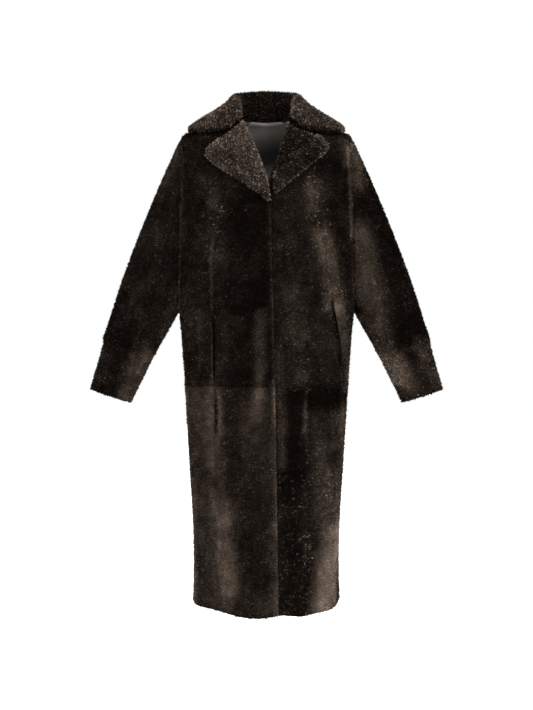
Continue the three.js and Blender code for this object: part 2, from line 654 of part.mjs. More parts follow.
// The collar stands at the neck, rolls over and falls on the shoulders
function buildCollar() {
  const along = 40;
  const across = 12;
  const rimCells = 1.2;
  const lowStand = 30; // a lower stand than this has no roll of its own
  const rows = [...collarTable].reverse().map((row) => mirrored(row)).concat(collarTable.slice(1));
  const guide = (pick) => new THREE.CatmullRomCurve3(rows.map(pick), false, 'centripetal');
  const vector = (list) => new THREE.Vector3(...list);
  const seam = guide((row) => vector(row.seam));
  const roll = guide((row) => vector(row.roll));
  const fall = guide((row) => vector(row.fall));
  const edge = guide((row) => vector(row.edge));
  const radius = (t) => {
    const place = t * (rows.length - 1);
    const i = Math.min(rows.length - 2, Math.floor(place));
    return lerp(rows[i].rollRadius, rows[i + 1].rollRadius, place - i);
  };
  const centre = Array.from({ length: along + 1 }, (_, i) => {
    const t = i / along;
    const [from, top, middle, end] = [seam, roll, fall, edge].map((curve) => curve.getPoint(t));
    const outward = middle.clone().sub(from).setZ(0).normalize();
    const bend = radius(t);
    const rise = clamp01((top.z - from.z) / lowStand);
    const inside = top.clone().addScaledVector(outward, -bend).setZ(lerp(from.z, top.z - bend, rise));
    const outside = top.clone().addScaledVector(outward, bend).setZ(top.z - bend * rise);
    inside.lerp(from.clone().lerp(top, 0.5), 1 - rise);
    const section = [from, inside, top, outside, middle, end];
    return new THREE.CatmullRomCurve3(section, false, 'centripetal').getPoints(across);
  });
  const normals = gridNormals(centre, false);
  const half = (i, j) => {
    const cells = Math.min(across - j, i, along - i);
    return (collarThickness / 2) * lerp(collarRimShare, 1, Math.sqrt(Math.min(1, cells / rimCells)));
  };
  const move = (sign) => centre.map((row, i) => row.map((point, j) =>
    point.clone().addScaledVector(normals[i][j], sign * half(i, j))));
  addPiece('collar', wallGeometry(move(1), move(-1)), 'shearling');
}

function mirrored(row) {
  const flip = ([x, y, z]) => [-x, y, z];
  return { ...row, seam: flip(row.seam), roll: flip(row.roll), fall: flip(row.fall), edge: flip(row.edge) };
}

// Sleeves: open tubes from the armhole's oval to the cuff, in two lengths joined above the wrist
function buildSleeve(sign, sideName) {
  const around = 24;
  const rowIndex = sleeveTable.map((row, i) => ({ ...row, i }));
  const along = Object.fromEntries(
    ['outX', 'outZ', 'inX', 'inZ', 'depth'].map((key) => [key, curveThrough(rowIndex, 'i', key)]));
  const ring = (place) => {
    const armShare = 1 - smooth(0, armholeRows, place);
    return Array.from({ length: around }, (_, k) => {
      const turn = (k / around) * 2 * Math.PI;
      const share = (1 + Math.cos(turn)) / 2;
      const x = lerp(along.inX(place), along.outX(place), share);
      const z = lerp(along.inZ(place), along.outZ(place), share);
      const side = Math.sin(turn) < 0 ? 1 : -1;
      const armZ = lerp(armpitHeight, shoulderTipHeight, share);
      const armY = Math.abs(bodyPoint(armholeX(armZ), armZ, side).y);
      const tubeY = along.depth(place) * Math.abs(Math.sin(turn));
      const y = side * lerp(tubeY, armY * (along.depth(place) / along.depth(0)), armShare);
      return new THREE.Vector3(sign * x, Math.abs(Math.sin(turn)) < flatSine ? 0 : y, z);
    });
  };
  const tube = (name, places, material, startKind) => {
    // One more ring past the join, so that both lengths lean the same way there
    const before = startKind === 'armhole' ? [] : [2 * places[0] - places[1]];
    const after = startKind === 'armhole' ? [2 * places.at(-1) - places.at(-2)] : [];
    const wider = [...before, ...places, ...after].map(ring);
    const ownRings = (grid) => grid.slice(before.length, before.length + places.length);
    const outer = ownRings(wider);
    const normals = ownRings(gridNormals(wider, true));
    const reference = normals[0][Math.floor(around / 4)];
    const outward = Math.sign(reference.y) === -1 ? 1 : -1;
    normals.forEach((row) => row.forEach((normal) => normal.multiplyScalar(outward)));
    const lean = (armpitHalfWidth - shoulderHalfWidth) / (shoulderTipHeight - armpitHeight);
    const plane = new THREE.Vector3(sign, 0, lean).normalize();
    if (startKind === 'armhole') normals[0].forEach((normal) => normal.projectOnPlane(plane).normalize());
    const inner = outer.map((row, i) => row.map((point, j) =>
      point.clone().addScaledVector(normals[i][j], -wallThickness)));
    outer[0].forEach((point, j) => point.addScaledVector(normals[0][j], -seamDip));
    for (const grid of [outer, inner]) {
      const trim = grid === outer ? seamGap / 2 : innerTrim;
      if (startKind === 'armhole') {
        grid[0].forEach((point) => (point.x = sign * (armholeX(point.z) + seamGap / 2)));
        trimEdge(grid.at(-1), grid.at(-2), trim);
      } else {
        trimEdge(grid[0], grid[1], trim);
      }
    }
    addPiece(name, wallGeometry(outer, inner, true), material);
  };
  const upperPlaces = [0, 0.6, 1.2, 2, 3, 4, 5, 6, 7, 8, sleeveJoinRow];
  const cuffPlaces = [sleeveJoinRow, 9.5, 10, 10.6, 11.3, 12];
  tube(`sleeve_${sideName}_upper`, upperPlaces, 'shearlingDark', 'armhole');
  tube(`sleeve_${sideName}_cuff`, cuffPlaces, 'shearling', 'join');
}

// A pocket facing lies behind each mouth
function buildPocket(name, table, pocket, lift) {
  const rows = 7;
  const columns = 3;
  const edge = edgeOf(table);
  const grid = Array.from({ length: rows + 1 }, (_, i) => {
    const z = lerp(pocket.low - pocketMargin, pocket.high + pocketMargin, i / rows);
    return Array.from({ length: columns + 1 }, (_, j) => {
      const x = edge(z) + lerp(-pocketHalfWidth, pocketHalfWidth, j / columns);
      return bodyPoint(x, z, -1, lift(x));
    });
  });
  const away = wallThickness + pocketClearance;
  addPiece(name, layer(grid, -away, -away - pocketThickness, -1), 'shearlingDark');
}

buildFronts();
buildBack();
buildLining();
buildCollar();
buildLapel('lapel_right', rightLapel, overLift, 'shearlingLight');
buildLapel('lapel_left', leftLapel, underLift, 'shearlingLight');
buildSleeve(-1, 'right');
buildSleeve(1, 'left');
buildPocket('pocket_right', rightSeam, rightPocket, overLift);
buildPocket('pocket_left', leftSeam, leftPocket, underLift);

export default coat;
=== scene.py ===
import math
import bmesh
import bpy
import numpy as np
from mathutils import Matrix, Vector, kdtree, noise


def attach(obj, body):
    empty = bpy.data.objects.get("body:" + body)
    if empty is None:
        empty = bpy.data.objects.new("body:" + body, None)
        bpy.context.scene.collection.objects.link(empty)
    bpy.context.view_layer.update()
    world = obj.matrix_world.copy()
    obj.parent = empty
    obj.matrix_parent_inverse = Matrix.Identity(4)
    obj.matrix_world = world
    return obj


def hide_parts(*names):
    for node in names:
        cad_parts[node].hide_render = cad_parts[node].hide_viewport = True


# A long shearling coat, hollow and filled out as worn: skins sewn edge to edge with the curled
# pile outside, a satin lined back, a notched collar and wide lapels faced with the same shearling.
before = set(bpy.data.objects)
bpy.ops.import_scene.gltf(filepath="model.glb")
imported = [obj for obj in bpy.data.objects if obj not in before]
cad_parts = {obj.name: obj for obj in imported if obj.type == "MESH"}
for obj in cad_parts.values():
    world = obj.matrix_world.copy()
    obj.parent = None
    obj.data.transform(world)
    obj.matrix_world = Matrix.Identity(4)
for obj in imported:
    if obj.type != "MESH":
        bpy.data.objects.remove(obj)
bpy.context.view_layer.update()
mm = 0.001
print("frame loaded", len(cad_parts), "pieces")


# Shader maths: a wrapped socket whose operators add Math nodes

class Wire:
    def __init__(self, sheet, socket):
        self.sheet = sheet
        self.socket = socket

    def maths(self, operation, *values):
        return self.sheet.node("ShaderNodeMath", {"operation": operation}, dict(enumerate(values)))

    def __add__(self, other):
        return self.maths("ADD", self, other)

    def __radd__(self, other):
        return self.maths("ADD", other, self)

    def __sub__(self, other):
        return self.maths("SUBTRACT", self, other)

    def __rsub__(self, other):
        return self.maths("SUBTRACT", other, self)

    def __mul__(self, other):
        return self.maths("MULTIPLY", self, other)

    def __rmul__(self, other):
        return self.maths("MULTIPLY", other, self)

    def clamped(self):
        return self.maths("MINIMUM", self.maths("MAXIMUM", self, 0.0), 1.0)


class Material:
    def __init__(self, name):
        self.data = bpy.data.materials.new(name)
        self.data.use_nodes = True
        self.tree = self.data.node_tree
        self.tree.nodes.clear()

    # One way to add any node: its type, its settings, then the values or wires of its sockets
    def node(self, kind, settings=None, sockets=None, output=0):
        made = self.tree.nodes.new(kind)
        for key, value in (settings or {}).items():
            if key == "stops":
                self.setStops(made.color_ramp, value)
            else:
                setattr(made, key, value)
        for key, value in (sockets or {}).items():
            if isinstance(value, Wire):
                self.tree.links.new(value.socket, made.inputs[key])
            else:
                made.inputs[key].default_value = value
        return Wire(self, made.outputs[output])

    def setStops(self, ramp, stops):
        while len(ramp.elements) < len(stops):
            ramp.elements.new(1.0)
        for element, (place, colour) in zip(ramp.elements, stops):
            element.position = place
            element.color = (*colour, 1.0)

    def place(self):
        return self.node("ShaderNodeTexCoord", output="Object")

    def grain(self, size, detail=2.0, stretch=(1, 1, 1)):
        turned = self.node("ShaderNodeMapping", {}, {"Vector": self.place(), "Scale": stretch})
        return self.node("ShaderNodeTexNoise", {}, {"Vector": turned, "Scale": 1 / size, "Detail": detail})

    def split(self, vector):
        parts = self.node("ShaderNodeSeparateXYZ", {}, {"Vector": vector}).socket.node
        return [Wire(self, part) for part in parts.outputs]

    def finish(self, **sockets):
        shader = self.node("ShaderNodeBsdfPrincipled", {}, sockets)
        end = self.tree.nodes.new("ShaderNodeOutputMaterial")
        self.tree.links.new(shader.socket, end.inputs["Surface"])
        return self.data


pileLook = {
    "root": 0.34,  # share of the colour left at the foot of a lock, as painted shade deep in the pile
    "stops": [
        (0.0, (0.0030, 0.0020, 0.0015)),
        (0.2, (0.0098, 0.0073, 0.0056)),
        (0.4, (0.0320, 0.0237, 0.0180)),
        (0.6, (0.0850, 0.0630, 0.0485)),
        (0.8, (0.2350, 0.1790, 0.1430)),
        (1.0, (0.4600, 0.3700, 0.3110)),
    ],
    "roughness": 0.9,
}


# Locks of pile: the map's U is how pale a lock is and its V runs from root to tip, darkened towards the root
# as painted shade
def makePileMaterial():
    m = Material("shearlingPile")
    paleness, height, _ = m.split(m.node("ShaderNodeUVMap", {"uv_map": pileMap}))
    colour = m.node("ShaderNodeValToRGB", {"stops": pileLook["stops"]}, {"Fac": paleness})
    # Painted shade: each lock is darker towards its foot
    shade = (pileLook["root"] + height * (1 - pileLook["root"])).clamped()
    shaded = m.node("ShaderNodeVectorMath", {"operation": "SCALE"}, {0: colour, "Scale": shade})
    return m.finish(**{
        "Base Color": shaded, "Roughness": pileLook["roughness"], "Specular IOR Level": 0.0,
    })


skinLook = {
    "grain": 5 * mm, "detail": 3.0, "bump": 1.2 * mm, "strength": 0.8, "roughness": 0.9,
    "mottle": 0.4, "gapShade": 0.17,  # how strongly it is mottled, and how much darker than its locks it is painted, as shade between them
}


# The skin under the pile: felted, in the pile's colours painted darker as shade between the locks
def makeSkinMaterial():
    m = Material("shearlingSkin")
    curl = m.grain(skinLook["grain"], skinLook["detail"])
    paleness = m.node("ShaderNodeAttribute", {"attribute_name": toneName}, output="Fac")
    shade = (paleness - skinLook["gapShade"] + (curl - 0.5) * skinLook["mottle"]).clamped()
    colour = m.node("ShaderNodeValToRGB", {"stops": pileLook["stops"]}, {"Fac": shade})
    bump = m.node("ShaderNodeBump", {}, {
        "Height": curl, "Distance": skinLook["bump"], "Strength": skinLook["strength"],
    })
    return m.finish(**{
        "Base Color": colour, "Roughness": skinLook["roughness"], "Normal": bump, "Specular IOR Level": 0.0,
    })


liningLook = {
    "weave": 0.9 * mm, "slub": 14 * mm, "slubShare": 0.6, "bump": 0.25 * mm, "strength": 0.5,
    "roughness": 0.42, "shine": 0.3,
    "top": 20 * mm, "span": 300 * mm, "tilt": 0.12, "waver": 0.05,  # where the painted highlight and shade bands lie down the back
    "stops": [  # down from the neck: a painted highlight where the lining turns under the collar, the painted shadow below it, then the flat of the back painted paler against its shade, darker again lower down
        (0.00, (0.132, 0.117, 0.106)),
        (0.11, (0.150, 0.134, 0.121)),
        (0.17, (0.072, 0.062, 0.055)),
        (0.26, (0.014, 0.0116, 0.0100)),
        (0.34, (0.019, 0.0158, 0.0138)),
        (0.46, (0.300, 0.2640, 0.2410)),
        (0.74, (0.300, 0.2640, 0.2410)),
        (1.00, (0.060, 0.0530, 0.0480)),
    ],
}


# Satin: faint crosswise slubs over a very fine weave, with painted highlight and shade bands down from the
# neck
def makeLiningMaterial():
    m = Material("liningSatin")
    slub = m.grain(liningLook["slub"], 3.0, (1, 1, 5))
    weave = m.grain(liningLook["weave"], 1.0, (1, 1, 3))
    across, _, up = m.split(m.place())
    # Painted highlight and shade: bands by height down the back, tilted across and wavering with the slubs
    down = (liningLook["top"] - up + across * liningLook["tilt"]) * (1 / liningLook["span"])
    lightBand = (down + (slub - 0.5) * liningLook["waver"]).clamped()
    colour = m.node("ShaderNodeValToRGB", {"stops": liningLook["stops"]}, {"Fac": lightBand})
    thread = slub * liningLook["slubShare"] + weave * (1 - liningLook["slubShare"])
    bump = m.node("ShaderNodeBump", {}, {
        "Height": thread, "Distance": liningLook["bump"], "Strength": liningLook["strength"],
    })
    return m.finish(**{
        "Base Color": colour, "Roughness": liningLook["roughness"], "Normal": bump,
        "Specular IOR Level": liningLook["shine"],
    })


pileMap = "OFBake"  # the name given to the locks' map; the map that the export keeps
toneName = "paleness"
pileMaterial = makePileMaterial()
skinMaterial = makeSkinMaterial()
liningMaterial = makeLiningMaterial()
print("materials made")


# Creases of the body, as points (x, z) down the front or the back, with a half width and a depth.
# A positive depth is a trough and a negative one a ridge.
creases = [
    {"side": -1, "points": [(-62, -480), (-70, -640), (-66, -860), (-58, -1110)], "width": 13, "depth": 3.4},
    {"side": -1, "points": [(-98, -560), (-102, -760), (-92, -1000)], "width": 11, "depth": 2.4},
    {"side": -1, "points": [(-30, -420), (-34, -560), (-22, -760)], "width": 9, "depth": -2.2},
    {"side": -1, "points": [(-8, -470), (-2, -640), (-4, -900)], "width": 9, "depth": 2.2},
    {"side": -1, "points": [(62, -360), (66, -520), (58, -700)], "width": 12, "depth": -2.4},
    {"side": -1, "points": [(104, -470), (96, -640), (92, -820)], "width": 10, "depth": 2.6},
    {"side": -1, "points": [(126, -610), (132, -790), (124, -1080)], "width": 12, "depth": -2.6},
    {"side": -1, "points": [(-150, -300), (-146, -420), (-152, -560)], "width": 10, "depth": 2.2},
    {"side": -1, "points": [(-158, -180), (-148, -262), (-156, -350)], "width": 9, "depth": -2.0},
    {"side": -1, "points": [(152, -120), (160, -230), (150, -330)], "width": 12, "depth": 2.2},
    {"side": 1, "points": [(0, -150), (6, -420), (-4, -760), (4, -1110)], "width": 15, "depth": 3.0},
    {"side": 1, "points": [(-58, -420), (-70, -700), (-62, -1050)], "width": 12, "depth": -2.8},
    {"side": 1, "points": [(64, -360), (74, -640), (66, -960)], "width": 12, "depth": 2.8},
    {"side": 1, "points": [(112, -300), (104, -560), (116, -900)], "width": 11, "depth": -2.4},
    {"side": 1, "points": [(-116, -250), (-108, -480), (-120, -820)], "width": 12, "depth": 2.6},
    {"side": 1, "points": [(-140, -120), (-118, -220), (-60, -290)], "width": 12, "depth": 2.0},
    {"side": 1, "points": [(140, -110), (120, -215), (66, -280)], "width": 12, "depth": 2.0},
]


creaseEdge = {"ends": 0.03, "side": 30 * mm}  # where creases fade: near their ends and towards the side seams


def addObject(name, data):
    added = bpy.data.objects.new(name, data)
    bpy.context.scene.collection.objects.link(added)
    return added


def unit(vectors):
    return vectors / np.maximum(np.linalg.norm(vectors, axis=1), 1e-12)[:, None]


# How near points come to a line drawn through points, and how far along it that is
def alongLine(places, line):
    best = np.full(len(places), np.inf)
    share = np.zeros(len(places))
    steps = np.array(line, float) * mm
    lengths = np.linalg.norm(np.diff(steps, axis=0), axis=1)
    before = np.concatenate([[0], np.cumsum(lengths)])
    for k in range(len(lengths)):
        run = steps[k + 1] - steps[k]
        t = np.clip((places - steps[k]) @ run / lengths[k] ** 2, 0, 1)
        away = np.linalg.norm(places - steps[k] - t[:, None] * run, axis=1)
        nearer = away < best
        best[nearer] = away[nearer]
        share[nearer] = ((before[k] + t * lengths[k]) / before[-1])[nearer]
    return best, share


def creaseDepth(points):
    depth = np.zeros(len(points))
    for crease in creases:
        away, share = alongLine(points[:, [0, 2]], crease["points"])
        taper = np.sin(np.pi * np.clip(share, creaseEdge["ends"], 1 - creaseEdge["ends"])) ** 0.5
        reach = np.exp(-(away / (crease["width"] * mm)) ** 2)
        onSide = np.clip(points[:, 1] * crease["side"] / creaseEdge["side"], 0, 1)
        depth += crease["depth"] * mm * reach * taper * onSide
    return depth


# The line down the middle of the wearer's left sleeve; past cuffAt the cuff's rim is furred too
sleeveLine = {"start": (0.198, 0, -0.236), "end": (0.361, 0, -0.634), "cuffAt": 0.96, "cuffLean": 0.07}
# Outwards on the body: less across than forwards, leaning up above the chest and down at the hem
bodyOut = {"across": 0.4, "chest": -0.3, "chestLean": 0.1, "hem": -1.1, "hemLean": -0.08}


def outwardOf(points, kind):
    if kind == "sleeve":
        side = np.sign(points[:, 0])
        start, end = np.array(sleeveLine["start"]), np.array(sleeveLine["end"])
        run = end - start
        leftPoints = points * np.stack([side, np.ones_like(side), np.ones_like(side)], 1)
        t = (leftPoints - start) @ run / (run @ run)
        out = leftPoints - start - t[:, None] * run
        out += run * np.where(t > sleeveLine["cuffAt"], sleeveLine["cuffLean"], 0)[:, None]
        out[:, 0] *= side
    else:
        height = points[:, 2]
        out = points * np.array([bodyOut["across"], 1, 0])
        out[:, 2] = np.where(height > bodyOut["chest"], bodyOut["chestLean"], 0)
        out[height < bodyOut["hem"], 2] = bodyOut["hemLean"]
    return unit(out)


def coordinatesOf(mesh):
    points = np.empty(len(mesh.vertices) * 3)
    mesh.vertices.foreach_get("co", points)
    return points.reshape(-1, 3)


shell = {
    "pileDepth": 3.0 * mm, "seamDepth": 0.3, "seamReach": 11 * mm,  # the pile's room, its share at a seam
    "weld": 0.01 * mm, "quadAngle": 50, "quadShape": 70, "rimAngle": 50, "levels": 1,
    "furredFrom": 0.3, "linedFrom": -0.5,  # how far a face turns outwards or inwards
}
furredSlot, linedSlot, rimSlot = 0, 1, 2


# A merged copy of a solid, its triangles joined to quads, with the corners of its rims kept
def mergedCopy(node):
    bm = bmesh.new()
    bm.from_mesh(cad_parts[node].data)
    bmesh.ops.remove_doubles(bm, verts=bm.verts, dist=shell["weld"])
    bmesh.ops.join_triangles(
        bm, faces=bm.faces,
        angle_face_threshold=math.radians(shell["quadAngle"]),
        angle_shape_threshold=math.radians(shell["quadShape"]),
    )
    crease = bm.edges.layers.float.new("crease_edge")
    for edge in bm.edges:
        if len(edge.link_faces) == 2 and edge.calc_face_angle(0) > math.radians(shell["rimAngle"]):
            edge[crease] = 1.0
    return bm


# Gives each face its slot: furred outside, lined inside or a rim between them; collars are furred all round
def markFurred(bm, kind):
    bm.normal_update()
    centres = np.array([face.calc_center_median() for face in bm.faces])
    normals = np.array([face.normal for face in bm.faces])
    facing = (outwardOf(centres, kind) * normals).sum(1)
    for face, turn in zip(bm.faces, facing):
        face.smooth = True
        if kind == "collar" or turn > shell["furredFrom"]:
            face.material_index = furredSlot
        elif turn > shell["linedFrom"]:
            face.material_index = rimSlot
        else:
            face.material_index = linedSlot


def smoothed(name, bm):
    mesh = bpy.data.meshes.new(name + "_cage")
    bm.to_mesh(mesh)
    bm.free()
    cage = addObject(name + "_cage", mesh)
    rounding = cage.modifiers.new("rounding", "SUBSURF")
    rounding.levels = rounding.render_levels = shell["levels"]
    bpy.context.view_layer.update()
    fine = bpy.data.meshes.new_from_object(cage.evaluated_get(bpy.context.evaluated_depsgraph_get()))
    fine.name = name
    bpy.data.objects.remove(cage)
    bpy.data.meshes.remove(mesh)
    return fine


def movePoints(mesh, points):
    mesh.vertices.foreach_set("co", points.ravel())
    mesh.update()


# Corners, unit normals and areas of the triangles that carry pile
def furredTriangles(mesh):
    mesh.calc_loop_triangles()
    count = len(mesh.loop_triangles)
    corners = np.empty(count * 3, int)
    slots = np.empty(count, int)
    mesh.loop_triangles.foreach_get("vertices", corners)
    mesh.loop_triangles.foreach_get("material_index", slots)
    corners = corners.reshape(-1, 3)[slots == furredSlot]
    points = coordinatesOf(mesh)
    edgeA = points[corners[:, 1]] - points[corners[:, 0]]
    edgeB = points[corners[:, 2]] - points[corners[:, 0]]
    cross = np.cross(edgeA, edgeB)
    normals = np.zeros_like(points)
    for k in range(3):
        np.add.at(normals, corners[:, k], cross)
    return points, corners, unit(normals), np.linalg.norm(cross, axis=1) / 2


def nearestIndex(centres, places):
    tree = kdtree.KDTree(len(centres))
    for index, centre in enumerate(centres):
        tree.insert(centre, index)
    tree.balance()
    return np.array([tree.find(place)[1] for place in places])


# How much of the pile's depth there is: little at a seam, all of it away from one
def depthShare(mesh, points):
    slots = [set() for _ in points]
    for polygon in mesh.polygons:
        for vertex in polygon.vertices:
            slots[vertex].add(polygon.material_index)
    rim = points[[len(kinds) > 1 for kinds in slots]]
    if not len(rim):
        return np.ones(len(points))
    away = np.linalg.norm(points - rim[nearestIndex(rim, points)], axis=1)
    return shell["seamDepth"] + (1 - shell["seamDepth"]) * np.clip(away / shell["seamReach"], 0, 1)


# A skin is its solid with the furred side drawn in by the depth of the pile; the body's skins are creased too
def makeSkin(node, kind, inset, base):
    name = node + "_skin"
    bm = mergedCopy(node)
    markFurred(bm, kind)
    mesh = smoothed(name, bm)
    points, _, normals, _ = furredTriangles(mesh)
    points = points - normals * inset * depthShare(mesh, points)[:, None]
    if kind == "body":
        points = points - outwardOf(points, kind) * creaseDepth(points)[:, None]
    movePoints(mesh, points)
    tone, _, _ = toneOf(points, points, normals, node, base)
    mesh.attributes.new(toneName, "FLOAT", "POINT").data.foreach_set("value", tone)
    for material in (skinMaterial, liningMaterial, skinMaterial):  # in the order of the three slots
        mesh.materials.append(material)
    return addObject(name, mesh)


# Pale and dark areas of the pile, as brushed strokes in millimetres, by the start of a piece's name.
# The broad patches are partly the pile's own tone and partly painted sheen where its nap and folds
# catch the light; the narrow lines are painted highlights along edges and seams and painted shade
# along the collar's lower edges and in the pocket slits. Each has points (x, z), half width, how much
# paler, how much more speckled and how much shorter. They lie on the front unless their side is 1.
napLightAndShadeStrokes = {
    "front_right": [
        {"points": [(-33, -200), (-30, -420)], "width": 42, "tone": -0.07},
        {"points": [(-132, -150), (-120, -215), (-112, -320)], "width": 22, "tone": 0.15, "speck": 0.06},
        {"points": [(-124, -200), (-96, -222)], "width": 13, "tone": 0.15, "speck": 0.05},
        {"points": [(-102, -330), (-100, -600)], "width": 18, "tone": 0.08},
        {"points": [(-14, -450), (-14, -580), (-22, -680)], "width": 14, "tone": 0.29},
        # painted highlights where the closing edge turns
        {"points": [(9, -200), (17, -540), (22, -700)], "width": 4, "tone": 0.24},
        {"points": [(20, -600), (24, -860), (25, -1120)], "width": 10, "tone": 0.22},
        {"points": [(-148, -450), (-148, -560)], "width": 7, "tone": 0.12},
        # a painted highlight along the pocket seam, its dark seam line, then painted shade in the pocket slit
        {"points": [(-124, -300), (-121, -450), (-118, -612)], "width": 3, "tone": 0.24},
        {"points": [(-119, -450), (-116, -600)], "width": 2.2, "tone": -0.3, "short": 0.5},
        {"points": [(-117, -600), (-110, -716)], "width": 2.4, "tone": -0.5, "short": 0.7},
        {"points": [(-106, -625), (-101, -716)], "width": 6, "tone": 0.10},
        {"points": [(-168, -460), (-164, -600)], "width": 26, "tone": 0.05},
        # a painted highlight along the armhole seam
        {"points": [(-194, -90), (-196, -200), (-200, -350), (-203, -443)], "width": 6, "tone": 0.26},
        {"points": [(-145, -624), (-140, -720)], "width": 30, "tone": 0.04},
        {"points": [(-120, -622), (-118, -760), (-106, -860), (-92, -960), (-82, -1060)], "width": 22,
         "tone": 0.17},
        {"points": [(-98, -890), (-92, -1080)], "width": 30, "tone": 0.13},
        {"points": [(-78, -640), (-68, -820)], "width": 17, "tone": -0.07},
        {"points": [(-32, -840), (-18, -1060)], "width": 26, "tone": -0.06},
        {"points": [(-162, -800), (-160, -1100)], "width": 5, "tone": 0.12},
    ],
    "front_left": [
        {"points": [(100, -135), (104, -222)], "width": 14, "tone": 0.12, "speck": 0.06},
        {"points": [(102, -165), (120, -250)], "width": 28, "tone": 0.12, "speck": 0.08},
        {"points": [(178, -56), (184, -100)], "width": 15, "tone": 0.20},
        {"points": [(127, -278), (136, -320), (145, -358), (151, -425)], "width": 25,
         "tone": 0.37, "speck": 0.10},
        {"points": [(24, -530), (30, -640), (34, -790)], "width": 12, "tone": 0.22},
        {"points": [(62, -410), (70, -500), (74, -600)], "width": 23, "tone": 0.13, "speck": 0.03},
        {"points": [(166, -440), (180, -520), (186, -610)], "width": 15, "tone": 0.23},
        # painted shade in the pocket slit, with a painted highlight along its edge
        {"points": [(146, -418), (158, -490), (168, -566)], "width": 2.8, "tone": -0.5, "short": 0.7},
        {"points": [(151, -425), (164, -490), (174, -560)], "width": 4, "tone": 0.08},
        # painted highlights along the armhole seam
        {"points": [(186, -70), (190, -150), (193, -270)], "width": 5, "tone": 0.30},
        {"points": [(193, -270), (203, -443)], "width": 5, "tone": 0.14},
        {"points": [(63, -618), (63, -800)], "width": 15, "tone": -0.10},
        {"points": [(86, -618), (84, -712)], "width": 4, "tone": 0.26},
        {"points": [(100, -636), (160, -636)], "width": 25, "tone": -0.32},
        {"points": [(118, -700), (120, -800)], "width": 15, "tone": 0.05, "speck": 0.08},
        {"points": [(174, -620), (170, -800)], "width": 6, "tone": 0.14},
        {"points": [(62, -820), (62, -960), (66, -1110)], "width": 36, "tone": -0.18, "speck": 0.08},
        {"points": [(134, -815), (140, -925)], "width": 28, "tone": 0.12, "speck": 0.11},
        {"points": [(80, -945), (92, -995)], "width": 13, "tone": 0.18, "speck": 0.12},
        {"points": [(150, -950), (138, -1040), (124, -1120)], "width": 30, "tone": 0.38, "speck": -0.04},
        {"points": [(165, -1010), (167, -1090)], "width": 6, "tone": -0.26},
    ],
    "sleeve_right": [
        {"points": [(-199, -60), (-214, -108), (-238, -150)], "width": 12, "tone": 0.16},
        {"points": [(-206, -400), (-232, -490)], "width": 15, "tone": 0.14},
        {"points": [(-284, -540), (-306, -600), (-324, -650)], "width": 28, "tone": 0.29, "speck": 0.03},
        {"points": [(-362, -590), (-396, -600)], "width": 18, "tone": 0.10, "speck": 0.04},
    ],
    "sleeve_left": [
        {"points": [(206, -269), (226, -371), (256, -484), (295, -590)], "width": 36,
         "tone": 0.37, "speck": 0.05},
        {"points": [(196, -60), (206, -112), (210, -156)], "width": 21, "tone": 0.38, "speck": 0.06},
        {"points": [(350, -515), (372, -560), (396, -606)], "width": 20, "tone": 0.24, "speck": 0.07},
        {"points": [(300, -570), (335, -625)], "width": 30, "tone": 0.12, "speck": 0.10},
    ],
    "collar": [
        {"points": [(-110, -10), (0, 60), (110, -10)], "width": 90, "tone": -0.01, "speck": 0.03},
        # painted shadow along the collar's lower edges
        {"points": [(-174, -28), (-100, -31), (-84, -27)], "width": 7, "tone": -0.24},
        {"points": [(174, -28), (100, -31), (84, -27)], "width": 7, "tone": -0.24},
    ],
    "lapel_left": [
        {"points": [(60, -60), (60, -110)], "width": 90, "tone": -0.05, "speck": 0.03},
        # painted highlights along the lapel's edges
        {"points": [(62, -24), (124, -47), (140, -74), (118, -102), (72, -142), (20, -184)],
         "width": 5, "tone": 0.20},
        {"points": [(48, -12), (36, -52), (25, -92), (15, -138), (13, -172)], "width": 5, "tone": 0.12},
    ],
    "lapel_right": [
        {"points": [(-60, -50), (-50, -110)], "width": 90, "tone": -0.02, "speck": 0.06},
        # a painted highlight along the lapel's roll edge
        {"points": [(-51, -9), (-33, -50), (-12, -103), (4, -155), (10, -197)], "width": 5, "tone": 0.10},
        {"points": [(-70, -150), (-10, -185)], "width": 14, "tone": -0.10},
    ],
    "back": [
        {"points": [(-60, -160), (-70, -420), (-84, -700)], "width": 26, "tone": 0.16, "side": 1},
        {"points": [(90, -200), (84, -460), (104, -760)], "width": 24,
         "tone": 0.20, "speck": 0.05, "side": 1},
        {"points": [(10, -260), (6, -560), (16, -900)], "width": 26, "tone": -0.12, "side": 1},
        {"points": [(-130, -680), (-120, -900), (-126, -1100)], "width": 26, "tone": 0.20, "side": 1},
        {"points": [(60, -680), (50, -900), (62, -1100)], "width": 24, "tone": 0.14, "side": 1},
        {"points": [(-30, -700), (-40, -1100)], "width": 18, "tone": -0.08, "side": 1},
        # painted highlights along the armhole seams
        {"points": [(194, -90), (196, -200), (203, -443)], "width": 5, "tone": 0.16, "side": 1},
        {"points": [(-194, -90), (-196, -200), (-203, -443)], "width": 5, "tone": 0.16, "side": 1},
    ],
}

pile = {
    "spacing": 2.78 * mm, "height": 4.6 * mm, "radius": 1.7 * mm, "sunk": 0.8 * mm,
    "heights": (0.85, 1.1), "radii": (0.8, 1.25), "uneven": 0.16,  # how single locks and tufts differ
    "perTuft": 3, "gather": 0.5, "swirl": 0.45, "comb": 0.3, "stray": 0.22,
    "speck": 0.070, "grain": 0.075, "scatter": 2.0 * mm,
    "brushed": 2.4, "brushedFrom": 0.34, "brushedMost": 0.55,  # pale nap lies smoother
    "tones": (0.02, 0.98), "corners": (-0.012, 0.012, 0.0), "ends": (0.02, 0.98),  # places on the map
    "mottles": [(70 * mm, 0.14, 3.1), (20 * mm, 0.12, 8.7), (9 * mm, 0.11, 5.3)],
}
strokeEdge = {"side": 20 * mm, "power": 3}  # how strokes end at the side seams and along their edges
# The inside of the collar's stand lies in shadow: where it turns forwards, behind the neck
standShadow = {"turn": 0.35, "slope": 1.6, "from": 12 * mm, "over": 16 * mm, "tone": -0.22}


def noiseAt(points, size, seed):
    return np.array([noise.noise(Vector(place)) for place in points / size + seed])


